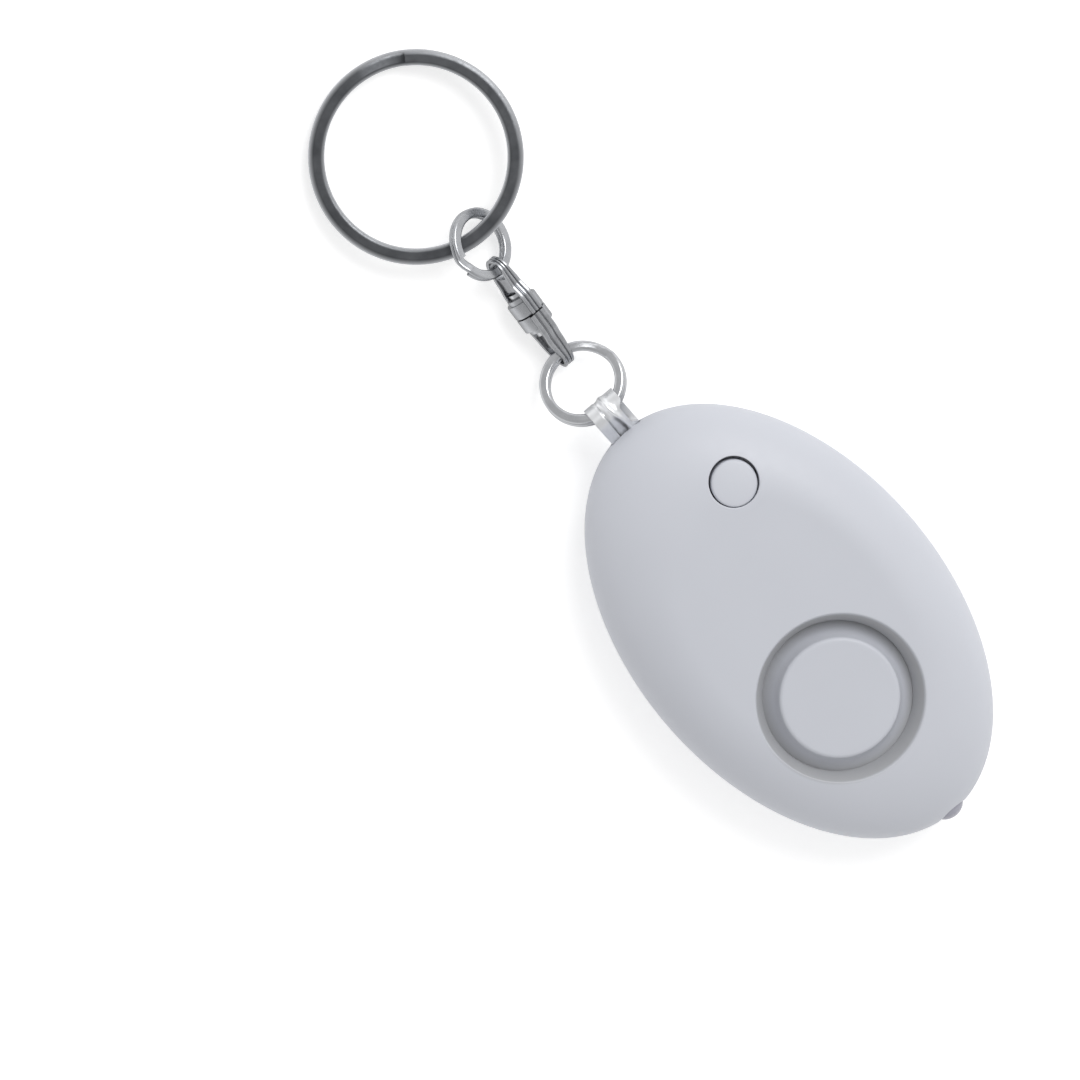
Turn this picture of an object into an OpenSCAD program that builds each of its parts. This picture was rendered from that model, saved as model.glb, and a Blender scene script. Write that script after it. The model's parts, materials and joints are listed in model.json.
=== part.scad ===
// Personal safety alarm: an oval pebble case with a sounder well, a light button, an end lamp,
// and a metal pull pin that carries a split ring, a swivel, a link ring and a key ring.
// The alarm lies on its back: the flat rear face is z = 0, the front faces +Z, the pin leaves at +Y.

/* [Case] */
// width of the case across its middle
case_w = 42; // [41:0.5:45]
// length of the case, pin end to lamp end
case_l = 67; // [66:0.5:71]
// thickness from the flat rear to the front
case_t = 15; // [15:0.25:16.5]
// thickness of the moulded walls
wall = 1.4; // [1.2:0.1:1.5]
// radius of the case edge beside the seam
edge_r = 7; // [6.6:0.1:7.1]

/* [Sounder] */
// how far the sounder well sits left of the middle
well_x = 1.6; // [1:0.1:2]
// distance from the lamp end to the centre of the well
well_end = 22.8; // [22.3:0.1:23.3]
// diameter of the well where its rounded rim turns down
well_d = 22.6; // [22:0.1:23]
// depth of the groove below the front
groove_depth = 3; // [2.6:0.1:3.1]
// diameter of the flat top of the centre cap
cap_d = 15.4; // [14.6:0.1:16]
// how far the cap's top lies below the front
cap_drop = 0.8; // [0.5:0.1:1]

/* [Button and lamp] */
// diameter of the light button
button_d = 6.4; // [6:0.1:6.8]
// how far the button sits right of the middle
button_x = 6.3; // [5.8:0.1:6.8]
// distance from the pin end to the button's centre
button_end = 13.3; // [13:0.1:14]
// how far the button goes in
button_travel = 0.5; // [0.3:0.05:0.5]
// diameter of the end lamp
lamp_d = 5; // [4.8:0.1:5.2]
// how far the lamp's tip stands out of the case
lamp_out = 0.7; // [0.4:0.1:1]

/* [Pull pin] */
// width of the pin's folded strip
pin_w = 4.7; // [4.2:0.1:5]
// thickness of the strip
strip_t = 0.4; // [0.35:0.05:0.5]
// outer radius of the pin's eye
pin_eye_r = 2.1; // [2.1:0.05:2.3]
// length of the pin's tongue inside the case
tongue_l = 11; // [10:0.25:11.5]

/* [Rings and swivel] */
// outer diameter of the ring on the pin
pin_ring_d = 11.4; // [11:0.1:12.4]
// radial width of that ring's wire
pin_ring_w = 0.9; // [0.8:0.05:0.95]
// depth of that ring's two coils together
pin_ring_t = 2; // [1.6:0.1:2]
// diameter of the swivel's barrel
swivel_d = 4.3; // [4.3:0.1:4.7]
// distance between the centres of the swivel's eyes
swivel_l = 14; // [13:0.25:16]
// width of the swivel's ribbed straps
strap_w = 2; // [1.7:0.05:2.1]
// outer diameter of the link ring
link_ring_d = 9.4; // [9.2:0.1:10]
// outer diameter of the key ring
key_ring_d = 28; // [26:0.5:32]
// radial width of the key ring
key_ring_w = 2.1; // [1.8:0.1:2.2]
// depth of the key ring's two coils together
key_ring_t = 2.4; // [2:0.1:2.5]

/* [Hidden] */
$fn = 96;
half_w = case_w / 2;
half_l = case_l / 2;
half_t = case_t / 2;
// the case edge is a small arc that runs into a larger one on the crown
edge_a = 50;
crown_r = (half_t - edge_r * sin(edge_a)) / (1 - sin(edge_a));
crown_d = edge_r * (1 - cos(edge_a)) + crown_r * cos(edge_a);
slack = 0.02;

well_y = well_end - half_l;
well_r = well_d / 2;
groove_r = well_r - 1.35;
groove_z = case_t - groove_depth;
well_z = groove_z - wall;
rim_r = 0.5;

button_y = half_l - button_end;
button_hole = button_d / 2 + 0.12;
collar_z = case_t - 3;
// the button's top is a shallow dome, flush on its inner side and proud where the case falls away
button_dome = 25;
button_lean = 8;
button_sink = 0.25;

board_z = 3.7;
board_t = 1;
board_top = board_z + board_t;
board_end = half_l - 9.9;
// the foot of the switch's plunger, with room below it for the button's travel
plunger_z = board_top + 2.2;
plunger_top = collar_z - 1.9;

// the sounder's holder, disc and crystal, and the drum coil that fits below them
holder_r = 11;
holder_h = 3;
disc_r = 10;
crystal_r = 7;
coil_r = 3;
coil_h = well_z - holder_h - 0.3 - board_top;

// the cells fill the case's thickness, or what room the sounder and the switch leave between them
switch_w = 6;
cell_room = button_y - switch_w / 2 - well_y - holder_r;
cell_r = min(half_t - wall - 0.3, cell_room / 2 - 1.2);
cell_h = 5.4;
cell_y = well_y + holder_r + cell_room / 2 - 0.65;
cell_x = -7.9;
cell_z = half_t;

resistor_l = 2;
screw_r = 0.95;
screw_head = 1.9;
// the low panel in the middle of the rear that the alarm rests on
rest_w = 0.72 * half_w;
rest_l = 0.92 * half_l;
rest_h = 0.3;
screw_spots = [[-9.5, half_l - 13.5], [10.2, 13.5 - half_l]];
post_spots = [[half_w - 8, -3], [7.6 - half_w, -1.5], [5.6, 8 - half_l], [-5.6, 8 - half_l]];

eye_y = half_l + 3.4;
tip_y = half_l - tongue_l;
leaf_y = half_l - 14;
touch_y = half_l - 6.7;
tongue_low = half_t - 0.5;
tongue_high = half_t + 0.5;
tongue_taper = 0.3;
// the pin's legs leave the neck and meet its round fold as tangents
neck_l = eye_y - half_l - 0.4;
leg_a = 180 - atan2(0.5, neck_l) - acos(pin_eye_r / norm([neck_l, 0.5]));
leg_u = [cos(leg_a), sin(leg_a)];
// across the strip: a flat band, a pressed line, a hollow, a round bead and an open edge
line_x = -0.16 * pin_w;
hollow_x = 0.05 * pin_w;
bead_x = 0.15 * pin_w;
open_x = 0.32 * pin_w;

// the chain lies straight out from the pin and slopes down to the floor
ring_slope = 30;
chain_yaw = 5;
swivel_rise = 6;
swivel_spin = 25;
link_turn = 16;
key_slope = 6.4;
pin_ring_r = (pin_ring_d - pin_ring_w) / 2;
eye_r = 1.85;
eye_t = 0.5;
rib_h = 0.16;
strap_out = swivel_d / 2 + 0.22;
link_w = 1;
link_t = 1.2;
link_ring_r = (link_ring_d - link_w) / 2;
key_ring_r = (key_ring_d - key_ring_w) / 2;
key_hold = link_ring_r - link_w / 2 - key_ring_w / 2 - 1.45;

white = [0.8, 0.81, 0.83];
steel = [0.75, 0.76, 0.78];
brass = [0.8, 0.65, 0.3];
black = [0.1, 0.1, 0.11];

// outline of half the case's thickness, seam at the bottom, inset by t
module rim(t) {
    square([half_w - crown_d, half_t - t]);
    intersection() {
        translate([half_w - crown_d, half_t - crown_r]) circle(crown_r - t);
        polygon([[half_w - crown_d, 0], [half_w - edge_r, 0],
                 [half_w - edge_r + 30 * cos(edge_a), 30 * sin(edge_a)], [half_w - crown_d, 40]]);
    }
    intersection() {
        translate([half_w - edge_r, 0]) circle(edge_r - t);
        polygon([[half_w - edge_r, 0], [half_w + 20, 0],
                 [half_w - edge_r + 30 * cos(edge_a), 30 * sin(edge_a)]]);
    }
}

// half of the oval pebble above the seam, in four quarters, inset by t
module half_pebble(t) {
    for (i = [0 : 3])
        scale([1, (half_l - t) / (half_w - t), 1])
            rotate(90 * i)
                rotate_extrude(angle = 90)
                    rim(t);
}

module front_half(t) {
    translate([0, 0, half_t]) half_pebble(t);
}

module rear_half(t) {
    translate([0, 0, half_t]) mirror([0, 0, 1]) half_pebble(t);
}

// flat oval plate, inset by t from the seam outline
module oval_plate(t, z0, z1) {
    translate([0, 0, z0])
        linear_extrude(z1 - z0)
            scale([1, (half_l - t) / (half_w - t)])
                circle(half_w - t);
}

module at_well() {
    translate([-well_x, well_y, 0]) children();
}

module at_button() {
    translate([button_x, button_y, 0]) children();
}

module at_screws() {
    for (p = screw_spots) translate([p[0], p[1], 0]) children();
}

// a bar along X that a cell's round side rests in
module cell_bars(z0, z1) {
    difference() {
        for (x = [-5.6, 5.2])
            translate([x, cell_y - cell_r + 1.1, z0]) cube([1, 2 * cell_r - 2.2, z1 - z0]);
        translate([-20, cell_y, cell_z]) rotate([0, 90, 0]) cylinder(r = cell_r + 0.04, h = 40);
    }
}

// tangent from the groove's foot to the rounded rim
foot = [groove_r, groove_z];
rim_c = [well_r + 0.6 * rim_r, case_t - rim_r];
foot_d = norm(foot - rim_c);
foot_a = atan2(foot[1] - rim_c[1], foot[0] - rim_c[0]) + 360 - acos(rim_r / foot_d);
rim_p = [rim_c[0] + rim_r * cos(foot_a), rim_c[1] + rim_r * sin(foot_a)];

module well_cut() {
    rotate_extrude()
        difference() {
            polygon([[0, groove_z - 4], [groove_r, groove_z - 4], foot, rim_p, rim_c,
                     [rim_c[0], case_t + 2], [0, case_t + 2]]);
            translate(rim_c) circle(rim_r);
        }
}

module lamp_bore() {
    translate([0, 10 - half_l, half_t]) rotate([90, 0, 0]) cylinder(d = lamp_d + 0.3, h = 20);
}

module pin_slot(z1) {
    w = pin_w / 2 + 0.2;
    translate([-w, half_l - 6, tongue_low - 0.2]) cube([2 * w, 12, z1 - tongue_low + 0.2]);
}

module front_shell() {
    color(white)
    difference() {
        union() {
            difference() {
                front_half(0);
                front_half(wall);
            }
            intersection() {
                front_half(0.4);
                union() {
                    at_well() translate([0, 0, well_z]) cylinder(r = well_r + 1.6, h = 10);
                    at_button() translate([0, 0, collar_z]) cylinder(r = button_hole + 1.3, h = 10);
                    at_screws() translate([0, 0, half_t + 0.2]) cylinder(r = 2.3, h = 10);
                    cell_bars(cell_z + cell_r - 1, case_t);
                }
            }
        }
        at_well() well_cut();
        at_button() cylinder(r = button_hole, h = case_t + 5);
        at_screws() translate([0, 0, half_t]) cylinder(r = screw_r + slack, h = 4.6);
        lamp_bore();
        pin_slot(tongue_high + 0.2);
    }
}

// what is cut from the rear round the panel that it rests on
module rest_cut() {
    difference() {
        translate([-half_w, -half_l, -1]) cube([case_w, case_l, 1 + rest_h]);
        translate([-rest_w / 2, -rest_l / 2, -2]) cube([rest_w, rest_l, 4]);
    }
}

module rear_shell() {
    color(white)
    difference() {
        union() {
            difference() {
                rear_half(0);
                rear_half(wall);
            }
            difference() {
                union() {
                    oval_plate(1, half_t - 1.9, half_t - 0.1);
                    oval_plate(wall + 0.4, half_t - 1.9, half_t + 1.2);
                }
                oval_plate(wall + 1.2, half_t - 3, half_t + 3);
                pin_slot(half_t + 3);
            }
            intersection() {
                rear_half(0.4);
                union() {
                    at_screws() cylinder(r = 3, h = half_t - 0.1);
                    for (p = post_spots) translate([p[0], p[1], 0]) cylinder(r = 1.3, h = board_z);
                    cell_bars(0, cell_z - cell_r + 1);
                    translate([-1.7, half_l - 8.8, 0]) cube([3.4, 4.4, tongue_low - 0.36]);
                }
            }
        }
        at_screws() translate([0, 0, -1]) cylinder(r = screw_r + 0.2, h = 20);
        at_screws() translate([0, 0, -1]) cylinder(r = screw_head + 0.2, h = 3.7);
        lamp_bore();
        pin_slot(half_t + 3);
        rest_cut();
    }
}

module case_screws() {
    color(steel)
    at_screws() {
        difference() {
            translate([0, 0, 1.4]) cylinder(r = screw_head, h = 1.28);
            for (a = [0, 90]) rotate(a) translate([-1.2, -0.25, 1]) cube([2.4, 0.5, 1.1]);
        }
        translate([0, 0, 2.6]) cylinder(r = screw_r, h = half_t + 1.4);
    }
}

module sounder_cap() {
    top = case_t - cap_drop;
    edge = cap_d / 2;
    skirt = groove_r - 0.13;
    // a hollow sweeps from the cap's edge down to the foot of the groove
    hollow_r = 3.45;
    brow = [edge + 0.35, top - 0.6];
    foot_in = [skirt, groove_z - 0.1];
    fall = foot_in - brow;
    fall_n = [-fall[1], fall[0]] / norm(fall);
    hollow_u = sqrt(pow(hollow_r, 2) - pow(norm(fall) / 2, 2));
    color(white)
    at_well() {
        difference() {
            rotate_extrude()
                difference() {
                    union() {
                        polygon([[0, well_z], [skirt, well_z], [skirt, top - 0.6], [edge - 0.25, top - 0.6],
                                 [edge - 0.25, top], [0, top]]);
                        translate([edge - 0.25, top - 0.6]) circle(0.6);
                    }
                    translate((brow + foot_in) / 2 + hollow_u * fall_n) circle(hollow_r);
                }
            translate([0, 0, well_z - 1]) cylinder(r = edge - 1.1, h = top - well_z - 0.2);
        }
        for (a = [30, 150, 270])
            rotate(a) translate([edge - 0.6, -2, well_z - 0.52]) cube([well_r - edge + 0.8, 4, 0.5]);
        for (a = [30, 150, 270])
            rotate(a) translate([edge - 0.6, -2, well_z - 0.52]) cube([1.6, 4, 0.8]);
    }
}

module sounder_ring() {
    color(white)
    at_well() {
        difference() {
            translate([0, 0, well_z - holder_h]) cylinder(r = holder_r, h = holder_h - 0.55);
            translate([0, 0, well_z - holder_h - 1]) cylinder(r = disc_r + 2 * slack, h = holder_h - 0.95);
            translate([0, 0, well_z - holder_h - 1]) cylinder(r = disc_r - 0.9, h = 5);
        }
        for (a = [90, 210, 330])
            rotate(a) translate([holder_r - 1.2, -1.5, well_z - 0.7]) cube([1, 3, 0.68]);
    }
}

module sounder_disc() {
    color(brass)
    at_well() translate([0, 0, well_z - 2.17]) cylinder(r = disc_r, h = 0.2);
}

module sounder_crystal() {
    color([0.85, 0.83, 0.78])
    at_well() translate([0, 0, well_z - 2.4]) cylinder(r = crystal_r, h = 0.21);
}

module sounder_lead_live() {
    color([0.7, 0.1, 0.1])
    at_well()
        translate([crystal_r / 2, 1, board_top + slack])
            cylinder(r = 0.4, h = well_z - 2.44 - board_top);
}

module sounder_lead_return() {
    color(black)
    at_well()
        translate([crystal_r + 1.2, -2, board_top + slack])
            cylinder(r = 0.4, h = well_z - 2.21 - board_top);
}

module light_button() {
    color(white) {
        at_button() translate([0, 0, collar_z - 1]) cylinder(r = button_hole + 0.6, h = 0.8);
        at_button() translate([0, 0, plunger_top + slack]) cylinder(r = 1.6, h = 1.1);
        at_button()
            intersection() {
                translate([0, 0, collar_z - 0.6]) cylinder(d = button_d, h = 6);
                translate([0, 0, case_t - button_sink])
                    rotate(atan2(button_y * pow(half_w / half_l, 2), button_x)) rotate([0, button_lean, 0])
                        translate([0, 0, -button_dome]) sphere(button_dome);
            }
    }
}

module switch_body() {
    color(black)
    difference() {
        union() {
            at_button()
                translate([-switch_w / 2, -switch_w / 2, board_top + slack])
                    cube([switch_w, switch_w, 3.5]);
            for (x = [-switch_w / 2 - 0.6, switch_w / 2], y = [-2.6, 1.9])
                at_button() translate([x, y, board_top + slack]) cube([0.6, 0.7, 0.9]);
        }
        at_button() translate([0, 0, plunger_z - button_travel - 0.3]) cylinder(r = 1.85, h = 5);
    }
}

module switch_plunger() {
    color([0.5, 0.1, 0.1])
    at_button() translate([0, 0, plunger_z]) cylinder(r = 1.7, h = plunger_top - plunger_z);
}

module lamp() {
    color([0.8, 0.8, 0.86])
    translate([0, -half_l - lamp_out + lamp_d / 2, half_t]) {
        sphere(d = lamp_d);
        rotate([-90, 0, 0]) cylinder(d = lamp_d, h = 6);
        translate([0, 5, 0]) rotate([-90, 0, 0]) cylinder(d = lamp_d + 0.8, h = 1);
    }
}

module lamp_leads() {
    back = -half_l - lamp_out + lamp_d / 2 + 6;
    color(steel)
    for (x = [-1.27, 1.27]) {
        translate([x - 0.25, back + slack, half_t - 0.25]) cube([0.5, 1.6, 0.5]);
        translate([x - 0.25, back + 1.1, board_z - 0.8]) cube([0.5, 0.5, half_t - board_z + 1.05]);
    }
}

module circuit_board() {
    back = -half_l - lamp_out + lamp_d / 2 + 6;
    color([0.1, 0.35, 0.2])
    difference() {
        oval_plate(4, board_z + slack, board_top);
        translate([-30, board_end, 0]) cube([60, 30, 20]);
        translate([9 - half_w, cell_y - cell_r - 0.4, 0]) cube([case_w - 18.8, 2 * cell_r + 0.8, 20]);
        translate([-lamp_d / 2 - 0.7, -half_l, 0]) cube([lamp_d + 1.4, half_l + back + 0.1, 20]);
        at_screws() cylinder(r = 3.2, h = 20);
        translate([-30, screw_spots[0][1] - 3.2, 0]) cube([30 + screw_spots[0][0], 30, 20]);
        for (x = [-1.27, 1.27]) translate([x, back + 1.35, 0]) cylinder(r = 0.5, h = 20);
    }
}

module sound_chip() {
    color(black)
    at_well() translate([-6.5, -4, board_top + 0.25]) cube([4.9, 3.9, 1.4]);
}

module chip_leads() {
    color(steel)
    at_well()
        for (i = [0 : 3], s = [0, 1])
            translate([-6.25 + 1.27 * i, s ? -0.1 : -4, 0]) mirror([0, s ? 0 : 1, 0])
                translate([0, 0, board_top + slack]) rotate([90, 0, 90]) linear_extrude(0.42)
                    polygon([[slack, 0.8], [0.5, 0.8], [0.5, 0.2], [1.1, 0.2], [1.1, 0], [0.3, 0],
                             [0.3, 0.6], [slack, 0.6]]);
}

module coil_core() {
    color([0.2, 0.2, 0.22])
    translate([half_w - 10.4, 26 - half_l, board_top + slack]) {
        cylinder(r = coil_r, h = 0.6);
        cylinder(r = 1.3, h = coil_h);
        translate([0, 0, coil_h - 0.6]) cylinder(r = coil_r, h = 0.6);
    }
}

module coil_winding() {
    color([0.72, 0.4, 0.2])
    translate([half_w - 10.4, 26 - half_l, board_top + slack + 0.63])
        difference() {
            cylinder(r = coil_r - 0.3, h = coil_h - 1.26);
            translate([0, 0, -1]) cylinder(r = 1.32, h = 6);
        }
}

module transistor() {
    color(black)
    translate([6 - half_w, -8.5, board_top + 0.15]) cube([1.4, 2.9, 1]);
}

module transistor_leads() {
    color(steel)
    for (p = [[7.4 - half_w, -8.2, 0], [7.4 - half_w, -6.35, 0], [6 - half_w, -7.25, 1]])
        translate([p[0], p[1], board_top + slack]) mirror([p[2], 0, 0])
            translate([slack, 0, 0]) cube([0.55, 0.42, 0.4]);
}

module chip_resistors() {
    color([0.25, 0.22, 0.2])
    for (p = [[8.4 - half_w, -12], [8.4 - half_w, -14.4], [-5, half_l - 17], [-9, half_l - 19],
              [half_w - 8.4, 2.2], [half_w - 8.4, 10]])
        translate([p[0], p[1], board_top + slack]) cube([resistor_l, 1.25, 0.55]);
}

module battery_cells() {
    color(steel)
    for (i = [0 : 2])
        translate([cell_x + i * cell_h, cell_y, cell_z]) rotate([0, 90, 0]) {
            translate([0, 0, 0.45]) cylinder(r = cell_r, h = cell_h - 0.47);
            cylinder(r = cell_r - 0.9, h = 1);
        }
}

module battery_plate() {
    x = cell_x + 3 * cell_h;
    color(steel) {
        translate([x, cell_y - 3.5, cell_z - 4.1]) cube([0.3, 7, 8]);
        translate([x, cell_y - 1.5, board_top + slack]) cube([half_w - 7.4 - x, 3, 0.3]);
    }
}

module battery_spring() {
    x = cell_x - 3.1;
    color(steel) {
        translate([0, cell_y + 2.5, 0]) rotate([90, 0, 0]) linear_extrude(5)
            polygon([[x, board_top + slack], [x, cell_z + 3.7], [x + 0.4, cell_z + 3.7],
                     [cell_x - 0.03, cell_z + 0.2], [cell_x - 0.03, cell_z - 0.2], [x + 1.5, cell_z - 1.9],
                     [x + 1.25, cell_z - 1.7], [cell_x - 0.35, cell_z - 0.1], [cell_x - 0.35, cell_z + 0.1],
                     [x + 0.3, cell_z + 3.2], [x + 0.3, board_top + slack]]);
        translate([6.6 - half_w, cell_y - 1.5, board_top + slack]) cube([x + half_w - 6.4, 3, 0.3]);
    }
}

module contact_strip() {
    color(brass)
    translate([-1.6, 0, 0]) {
        translate([0, half_l - 12.9, tongue_low - 0.34]) cube([3.2, 8.4, 0.3]);
        translate([0, half_l - 12.9, board_top + slack]) cube([3.2, 0.3, tongue_low - board_top - 0.1]);
        translate([0, half_l - 12.9, board_top + slack]) cube([3.2, 1.8, 0.3]);
    }
}

module contact_post() {
    color(brass)
    translate([-1.6, leaf_y, 0]) {
        translate([0, -1.6, tongue_high + 0.3]) cube([3.2, 1.6, 0.28]);
        translate([0, -1.6, board_top + slack]) cube([3.2, 0.3, tongue_high + 0.5 - board_top]);
        translate([0, -3, board_top + slack]) cube([3.2, 1.6, 0.3]);
    }
}

module contact_leaf() {
    low = tongue_high - tongue_taper * (half_l - 1.5 - touch_y) / (half_l - 1.5 - tip_y) + 0.04;
    color(brass) {
        translate([-1.6, leaf_y - 1.6, tongue_high + 0.6]) cube([3.2, touch_y - leaf_y + 2.4, 0.25]);
        translate([-1.2, touch_y, low + 0.6]) rotate([0, 90, 0]) cylinder(r = 0.6, h = 2.4);
    }
}

// a slice of the pin's strip from x0 to x1, its face lowered by d:
// a round fold and two legs that run straight from it to the neck
module pin_slice(x0, x1, d) {
    outer = pin_eye_r - d;
    inner = pin_eye_r - strip_t;
    translate([x0, 0, 0]) rotate([90, 0, 90]) linear_extrude(x1 - x0)
        translate([eye_y, half_t])
            difference() {
                union() {
                    circle(outer);
                    polygon([[outer * leg_u[0], outer * leg_u[1]], [-neck_l, 0.5], [-neck_l - 2, 0.5],
                             [-neck_l - 2, -0.5], [-neck_l, -0.5], [outer * leg_u[0], -outer * leg_u[1]]]);
                }
                circle(inner);
                polygon([[inner * leg_u[0], inner * leg_u[1]], [inner / leg_u[0], 0],
                         [inner * leg_u[0], -inner * leg_u[1]]]);
            }
}

module pull_pin() {
    color(steel) {
        difference() {
            union() {
                pin_slice(-pin_w / 2, pin_w / 2, 0.12);
                pin_slice(-pin_w / 2, line_x, 0);
                pin_slice(line_x + 0.14, hollow_x, 0.06);
                // the bead, in three steps
                for (b = [[0.42, 0.08], [0.32, 0.2], [0.18, 0.28]])
                    pin_slice(bead_x - b[0], bead_x + b[0], -b[1]);
            }
            translate([open_x, eye_y - neck_l + 0.2, tongue_high]) cube([pin_w, neck_l + 0.4, 3]);
        }
        translate([-pin_w / 2, 0, 0]) rotate([90, 0, 90]) linear_extrude(pin_w)
            polygon([[tip_y, tongue_low + 0.25], [tip_y + 0.6, tongue_low], [half_l - 1.5, tongue_low],
                     [half_l - 1.5, tongue_high], [tip_y + 0.6, tongue_high - tongue_taper],
                     [tip_y, tongue_high - tongue_taper - 0.15]]);
    }
}

// a ring of flat wire in two coils; the wire climbs from one coil to the other over 30 degrees
module split_ring(r, w, t, bevel, climb_at) {
    climb = 30;
    steps = 8;
    h = (t - 0.06) / 2;
    z_low = -t / 2;
    z_high = 0.03;
    wire = [[-w / 2 + bevel, 0], [w / 2 - bevel, 0], [w / 2, bevel], [w / 2, h - bevel],
            [w / 2 - bevel, h], [-w / 2 + bevel, h], [-w / 2, h - bevel], [-w / 2, bevel]];
    // the climbing wire is a hair thinner and laps into both coils
    thin = [for (p = wire) [p[0] * (w - 0.04) / w, h / 2 + (p[1] - h / 2) * (h - 0.04) / h]];
    lap = 1.5;
    points = [for (i = [0 : steps]) for (p = thin)
              let (a = -climb - lap + (climb + 2 * lap) * i / steps,
                   u = min(max(1 + a / climb, 0), 1),
                   z = z_low + (z_high - z_low) * u * u * (3 - 2 * u))
              [(r + p[0]) * cos(a), (r + p[0]) * sin(a), z + p[1]]];
    sides = [for (i = [0 : steps - 1]) for (k = [0 : 7])
             let (n = (k + 1) % 8)
             for (f = [[i * 8 + k, i * 8 + n, i * 8 + 8 + n], [i * 8 + k, i * 8 + 8 + n, i * 8 + 8 + k]]) f];
    rotate(climb_at) {
        for (z = [z_low, z_high])
            rotate_extrude(angle = 360 - climb)
                translate([r, z]) polygon(wire);
        polyhedron(points, concat([[for (k = [0 : 7]) 7 - k]], sides,
                   [[for (k = [0 : 7]) steps * 8 + k]]));
    }
}

module at_pin_eye() {
    translate([0, eye_y, half_t]) rotate([-ring_slope, 0, 0]) children();
}

module at_swivel() {
    at_pin_eye()
        translate([0, pin_ring_r, 0])
            rotate(-chain_yaw)
                translate([0, pin_ring_r, 0])
                    rotate([ring_slope + swivel_rise, 0, 0])
                        children();
}

module at_upper_eye() {
    at_swivel() translate([0, swivel_l, 0]) rotate([0, swivel_spin, 0]) children();
}

module at_link_ring() {
    at_upper_eye() rotate([0, link_turn, 0]) children();
}

module at_key_ring() {
    at_swivel()
        translate([0, swivel_l + link_ring_r + key_hold, 0.05])
            rotate([-swivel_rise - key_slope, 0, 0])
                children();
}

module pin_ring() {
    color(steel)
    at_pin_eye() translate([0, pin_ring_r, 0]) split_ring(pin_ring_r, pin_ring_w, pin_ring_t, 0.12, 75);
}

// a slice of the swivel's strap from x0 to x1, its face lowered by d:
// an eye and two legs that swell out over the turned base
module strap_slice(x0, x1, d, mid) {
    low = eye_r - eye_t;
    high = strap_out - eye_t;
    translate([x0, 0, 0]) rotate([90, 0, 90]) linear_extrude(x1 - x0)
        difference() {
            union() {
                circle(eye_r - d);
                polygon([[0, eye_r - d], [mid - 4.6, eye_r - d], [mid - 2.6, strap_out - d],
                         [mid, strap_out - d], [mid, d - strap_out], [mid - 2.6, d - strap_out],
                         [mid - 4.6, d - eye_r], [0, d - eye_r]]);
            }
            circle(low);
            polygon([[0, low], [mid - 4.6, low], [mid - 2.6, high], [mid + 1, high],
                     [mid + 1, -high], [mid - 2.6, -high], [mid - 4.6, -low], [0, -low]]);
        }
}

// half of the swivel: a ribbed strap folded round the ring, closed by a turned and stepped base
module swivel_half() {
    mid = swivel_l / 2 - 0.08;
    base = swivel_d / 2;
    strap_slice(-strap_w / 2, strap_w / 2, rib_h, mid);
    strap_slice(-strap_w / 2, -0.2 * strap_w, 0, mid);
    strap_slice(-0.11 * strap_w, 0.14 * strap_w, 0, mid);
    strap_slice(0.21 * strap_w, strap_w / 2, 0, mid);
    // the web between the legs, behind the eye
    difference() {
        translate([-0.3 * strap_w, 0.8, -eye_r + eye_t / 2])
            cube([0.6 * strap_w, mid - 4.3, 2 * eye_r - eye_t]);
        translate([-strap_w, 0, 0]) rotate([0, 90, 0]) cylinder(r = eye_r - eye_t, h = 2 * strap_w);
    }
    translate([0, mid, 0]) rotate([90, 0, 0])
        rotate_extrude()
            polygon([[0.75, 0], [base - 0.12, 0], [base, 0.12], [base, 1.88], [base - 0.12, 2],
                     [base - 0.4, 2], [base - 0.4, 2.5], [base - 0.5, 2.6], [0.75, 2.6]]);
}

module swivel_lower() {
    color(steel)
    at_swivel() swivel_half();
}

module swivel_upper() {
    color(steel)
    at_upper_eye() mirror([0, 1, 0]) swivel_half();
}

module swivel_rivet() {
    mid = swivel_l / 2;
    color(steel)
    at_swivel() {
        translate([0, mid + 3, 0]) rotate([90, 0, 0]) cylinder(r = 0.7, h = 6);
        translate([0, mid - 2.78, 0]) rotate([90, 0, 0]) cylinder(r = 1.1, h = 0.6);
        translate([0, mid + 3.3, 0]) rotate([90, 0, 0]) cylinder(r = 1.1, h = 0.6);
    }
}

module link_ring() {
    color(steel)
    at_link_ring() translate([0, link_ring_r, 0]) split_ring(link_ring_r, link_w, link_t, 0.15, 200);
}

module key_ring() {
    color([0.5, 0.51, 0.53])
    at_key_ring() translate([0, key_ring_r, 0]) split_ring(key_ring_r, key_ring_w, key_ring_t, 0.3, 90);
}

front_shell();
rear_shell();
case_screws();
sounder_cap();
sounder_ring();
sounder_disc();
sounder_crystal();
sounder_lead_live();
sounder_lead_return();
light_button();
switch_body();
switch_plunger();
lamp();
lamp_leads();
circuit_board();
sound_chip();
chip_leads();
coil_core();
coil_winding();
transistor();
transistor_leads();
chip_resistors();
battery_cells();
battery_plate();
battery_spring();
contact_strip();
contact_post();
contact_leaf();
pull_pin();
pin_ring();
swivel_lower();
swivel_upper();
swivel_rivet();
link_ring();
key_ring();
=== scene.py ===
import json
import math
from collections import namedtuple

import bmesh
import bpy
import numpy as np
from mathutils import Matrix


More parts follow.
